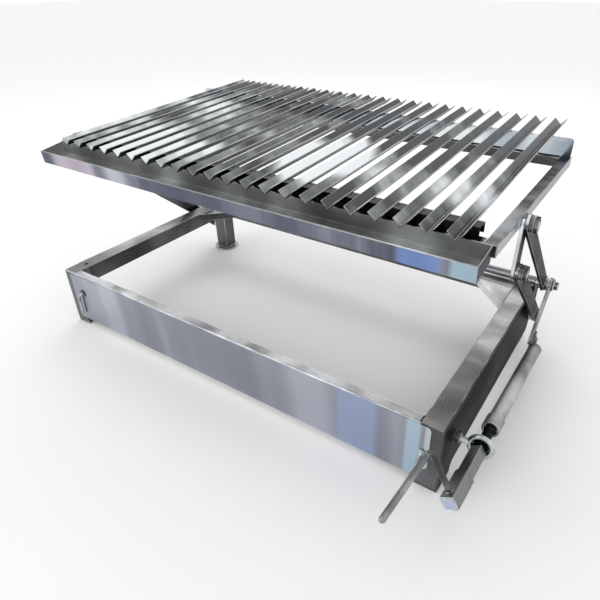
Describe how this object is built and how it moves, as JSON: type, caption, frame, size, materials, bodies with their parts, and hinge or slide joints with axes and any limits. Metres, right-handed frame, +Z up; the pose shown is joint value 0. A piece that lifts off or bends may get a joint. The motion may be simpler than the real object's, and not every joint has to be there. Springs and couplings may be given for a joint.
{
  "type": "parrilla grill",
  "caption": "Free-standing parrilla grill: an open square-tube base and a sloping V-bar grate on two pairs of parallel arms, raised by a crank and screw, with a drip trough.",
  "frame": {"origin": "on the ground, in the middle of the whole outline", "axes": "+X to the cook's right, +Y away from the cook, +Z up"},
  "size_m": [1.1032, 0.9046, 0.4914],
  "materials": {
    "satin_stainless": "satin, brushed along the tubes",
    "polished_stainless": "bright, nearly mirror polished",
    "plated_steel": "bright plated",
    "black_steel": "black oxide, oiled",
    "black_plastic": "matte"
  },
  "bodies": {
    "base": {"base_left_rail": "satin_stainless", "base_right_rail": "satin_stainless", "base_front_tube": "satin_stainless", "base_rear_tube": "satin_stainless", "gusset_left": "polished_stainless", "gusset_right": "polished_stainless", "front_left_leg": "satin_stainless", "front_right_leg": "satin_stainless", "rear_left_leg": "satin_stainless", "rear_right_leg": "satin_stainless", "rear_left_foot": "satin_stainless", "rear_right_foot": "satin_stainless", "front_left_glide": "black_plastic", "front_right_glide": "black_plastic", "side_cheek": "satin_stainless", "front_panel": "polished_stainless", "left_upright": "satin_stainless", "right_upright": "satin_stainless", "left_base_pin": "plated_steel", "right_base_pin": "plated_steel", "eye_bolt": "plated_steel", "eye_bolt_nut": "plated_steel"},
    "left_latch": {"left_latch": "plated_steel"},
    "right_latch": {"right_latch": "plated_steel"},
    "lift_arms": {"lift_shaft": "satin_stainless", "left_upper_arm": "satin_stainless", "right_upper_arm": "satin_stainless", "lift_lever": "polished_stainless", "lever_hub": "satin_stainless", "lever_pin": "plated_steel", "shaft_end_nuts": "plated_steel"},
    "left_lower_arm": {"left_lower_arm": "satin_stainless"},
    "right_lower_arm": {"right_lower_arm": "satin_stainless"},
    "grate_frame": {"grate_left_rail": "satin_stainless", "grate_right_rail": "satin_stainless", "grate_front_bar": "satin_stainless", "grate_rear_bar": "satin_stainless", "back_plate": "polished_stainless", "drip_trough": "polished_stainless", "left_hanger": "satin_stainless", "right_hanger": "satin_stainless", "left_bolts": "plated_steel", "right_bolts": "plated_steel", "left_nuts": "plated_steel", "right_nuts": "plated_steel"},
    "grate": {"v_bars": "polished_stainless", "bar_comb": "black_steel"},
    "drive_swivel": {"eye_bush": "black_steel"},
    "draw_slide": {"draw_tube": "satin_stainless", "draw_nut": "satin_stainless", "draw_yoke": "black_steel"},
    "crank": {"screw_rod": "black_steel", "thrust_collar": "satin_stainless", "crank_shaft": "satin_stainless", "crank_sleeve": "satin_stainless", "crank_handle": "polished_stainless", "crank_grip": "polished_stainless"}
  },
  "joints": [
    {"name": "lift", "type": "hinge", "parent": "base", "child": "lift_arms", "pos_m": [-0.01985, 0.31439, 0.1605], "axis": [-1, 0, 0], "range_deg": [-25, 10]},
    {"name": "left_lower_arm_swing", "type": "hinge", "parent": "base", "child": "left_lower_arm", "pos_m": [-0.53485, 0.31439, 0.0715], "axis": [-1, 0, 0], "range_deg": [-25.1, 10.1]},
    {"name": "right_lower_arm_swing", "type": "hinge", "parent": "base", "child": "right_lower_arm", "pos_m": [0.49515, 0.31439, 0.0715], "axis": [-1, 0, 0], "range_deg": [-25.1, 10.1]},
    {"name": "grate_level", "type": "hinge", "parent": "lift_arms", "child": "grate_frame", "pos_m": [-0.01985, -0.00288, 0.42956], "axis": [-1, 0, 0], "range_deg": [-10.1, 25.1]},
    {"name": "grate_lift_off", "type": "slide", "parent": "grate_frame", "child": "grate", "axis": [0, 0, 1], "range_m": [0, 0.06]},
    {"name": "drive_tip", "type": "hinge", "parent": "base", "child": "drive_swivel", "pos_m": [0.52765, -0.17561, 0.098], "axis": [1, 0, 0], "range_deg": [-4.6, 1.9]},
    {"name": "draw", "type": "slide", "parent": "drive_swivel", "child": "draw_slide", "axis": [0, -0.9966, 0.0824], "range_m": [-0.049, 0.0197]},
    {"name": "crank_turn", "type": "hinge", "parent": "drive_swivel", "child": "crank", "pos_m": [0.52765, -0.17561, 0.098], "axis": [0, 0.9966, -0.0824], "range_deg": [-4405, 1765]},
    {"name": "left_latch_turn", "type": "hinge", "parent": "base", "child": "left_latch", "pos_m": [-0.46535, -0.22561, 0.097], "axis": [0, 1, 0], "range_deg": [-15, 110]},
    {"name": "right_latch_turn", "type": "hinge", "parent": "base", "child": "right_latch", "pos_m": [0.44565, -0.22561, 0.086], "axis": [0, -1, 0], "range_deg": [-15, 110]}
  ],
  "couplings": [
    {"joint": "left_lower_arm_swing", "follows": "lift", "ratio": 1},
    {"joint": "right_lower_arm_swing", "follows": "lift", "ratio": 1},
    {"joint": "grate_level", "follows": "lift", "ratio": -1},
    {"joint": "drive_tip", "follows": "lift", "ratio": 0.181},
    {"joint": "draw", "follows": "lift", "m_per_rad": 0.1121},
    {"joint": "crank_turn", "follows": "lift", "ratio": 176.09}
  ]
}
